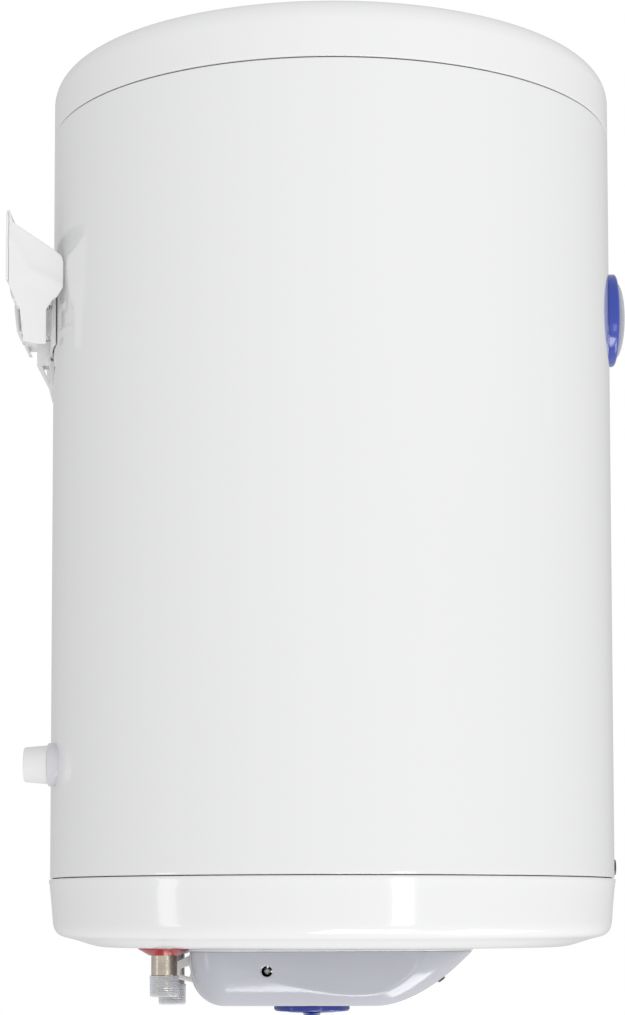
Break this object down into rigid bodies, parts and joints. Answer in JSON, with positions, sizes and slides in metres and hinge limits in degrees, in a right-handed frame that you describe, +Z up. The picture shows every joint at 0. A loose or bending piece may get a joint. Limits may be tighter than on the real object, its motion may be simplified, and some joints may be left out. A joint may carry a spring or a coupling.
{
  "type": "tank water heater",
  "caption": "Wall-hung cylindrical electric storage water heater with a hook bracket, dial thermometer, underside service cover and thermostat knob.",
  "frame": {"origin": "centre of the wall plate's back face, on the wall plane", "axes": "+Y into the wall, +Z up; the thermometer faces -Y; X runs left to right along the wall"},
  "size_m": [0.4596, 0.5017, 0.7906],
  "materials": {
    "white_enamel": "very glossy baked white enamel",
    "white_cap": "glossy white moulded plastic",
    "foam": "yellow rigid polyurethane foam",
    "tank_glaze": "dark blue vitreous enamel",
    "flange_steel": "zinc plated steel",
    "gasket": "matt black rubber",
    "fastener": "zinc plated fastener steel",
    "copper": "copper sheath, slightly dulled",
    "anode": "matt cast magnesium",
    "brass": "plain brass",
    "nickel": "nickel plated steel pipe, fine turning marks",
    "dip_tube": "natural polymer tube",
    "hot_red": "glossy red plastic",
    "cold_blue": "glossy blue plastic",
    "thread_cap": "translucent soft plastic",
    "collar": "light grey plastic",
    "cover_grey": "satin blue-grey moulded plastic",
    "lamp": "dark red lens",
    "guide_white": "white moulded plastic",
    "knob_blue": "glossy blue moulded plastic",
    "switchgear": "ivory moulded plastic",
    "reset_red": "red moulded plastic",
    "terminal": "white moulded plastic",
    "lead_brown": "brown wire insulation",
    "lead_blue": "blue wire insulation",
    "gauge_ring": "glossy blue plastic ring",
    "gauge_lens": "clear domed lens",
    "gauge_dial": "printed white dial",
    "needle_red": "red needle",
    "gauge_case": "plain pressed aluminium",
    "plug_black": "black moulded plastic",
    "bracket_enamel": "white powder coat",
    "spacer_white": "white moulded plastic"
  },
  "bodies": {
    "heater": {"outer_shell": "white_enamel", "top_cap": "white_cap", "bottom_cap": "white_cap", "insulation_foam": "foam", "inner_tank": "tank_glaze", "flange_ring": "flange_steel", "flange_gasket": "gasket", "flange_plate": "flange_steel", "flange_nut_1": "fastener", "flange_nut_2": "fastener", "flange_nut_3": "fastener", "flange_nut_4": "fastener", "flange_nut_5": "fastener", "heating_element": "copper", "sensor_pocket": "copper", "anode_rod": "anode", "anode_nut": "fastener", "earth_stud": "brass", "hot_water_pipe": "nickel", "cold_water_pipe": "nickel", "hot_dip_tube": "dip_tube", "inlet_diffuser": "dip_tube", "hot_pipe_ring": "hot_red", "cold_pipe_ring": "cold_blue", "cover_collar": "collar", "service_cover": "cover_grey", "cover_screw_left": "fastener", "cover_screw_right": "fastener", "pilot_lamp": "lamp", "cable_guide": "guide_white", "thermostat_body": "switchgear", "thermostat_bulb": "brass", "thermostat_capillary": "brass", "safety_cut_out": "switchgear", "terminal_block": "terminal", "supply_lead": "lead_brown", "linking_lead": "lead_blue", "thermometer_ring": "gauge_ring", "thermometer_lens": "gauge_lens", "thermometer_dial": "gauge_dial", "thermometer_case": "gauge_case", "thermometer_stem": "brass", "front_plug": "plug_black", "bracket_wall_plate": "bracket_enamel", "bracket_wing_left": "bracket_enamel", "bracket_wing_right": "bracket_enamel", "bracket_lower_web": "bracket_enamel", "bracket_foot": "bracket_enamel", "bracket_saddle": "bracket_enamel", "saddle_bolt_left": "fastener", "saddle_bolt_right": "fastener", "spacer_collar": "collar", "spacer_stud": "fastener"},
    "knob": {"thermostat_knob": "knob_blue", "thermostat_spindle": "fastener"},
    "needle": {"thermometer_needle": "needle_red"},
    "hot_cap": {"hot_thread_cap": "thread_cap"},
    "cold_cap": {"cold_thread_cap": "thread_cap"},
    "reset": {"reset_button": "reset_red"},
    "spacer": {"wall_spacer": "spacer_white"}
  },
  "joints": [
    {"name": "knob_turn", "type": "hinge", "parent": "heater", "child": "knob", "pos_m": [0, -0.2424, -0.6064], "axis": [0, 0, 1], "range_deg": [-135, 135]},
    {"name": "needle_sweep", "type": "hinge", "parent": "heater", "child": "needle", "pos_m": [0, -0.4905, -0.043], "axis": [0, 1, 0], "range_deg": [0, 240]},
    {"name": "hot_cap_pull", "type": "slide", "parent": "heater", "child": "hot_cap", "axis": [0, 0, -1], "range_m": [0, 0.03]},
    {"name": "cold_cap_pull", "type": "slide", "parent": "heater", "child": "cold_cap", "axis": [0, 0, -1], "range_m": [0, 0.03]},
    {"name": "reset_press", "type": "slide", "parent": "heater", "child": "reset", "axis": [0, 0, 1], "range_m": [0, 0.002], "stiffness_N_per_m": 300, "springref_m": -0.002},
    {"name": "spacer_screw", "type": "slide", "parent": "heater", "child": "spacer", "axis": [0, 1, 0], "range_m": [0, 0.0145]}
  ]
}
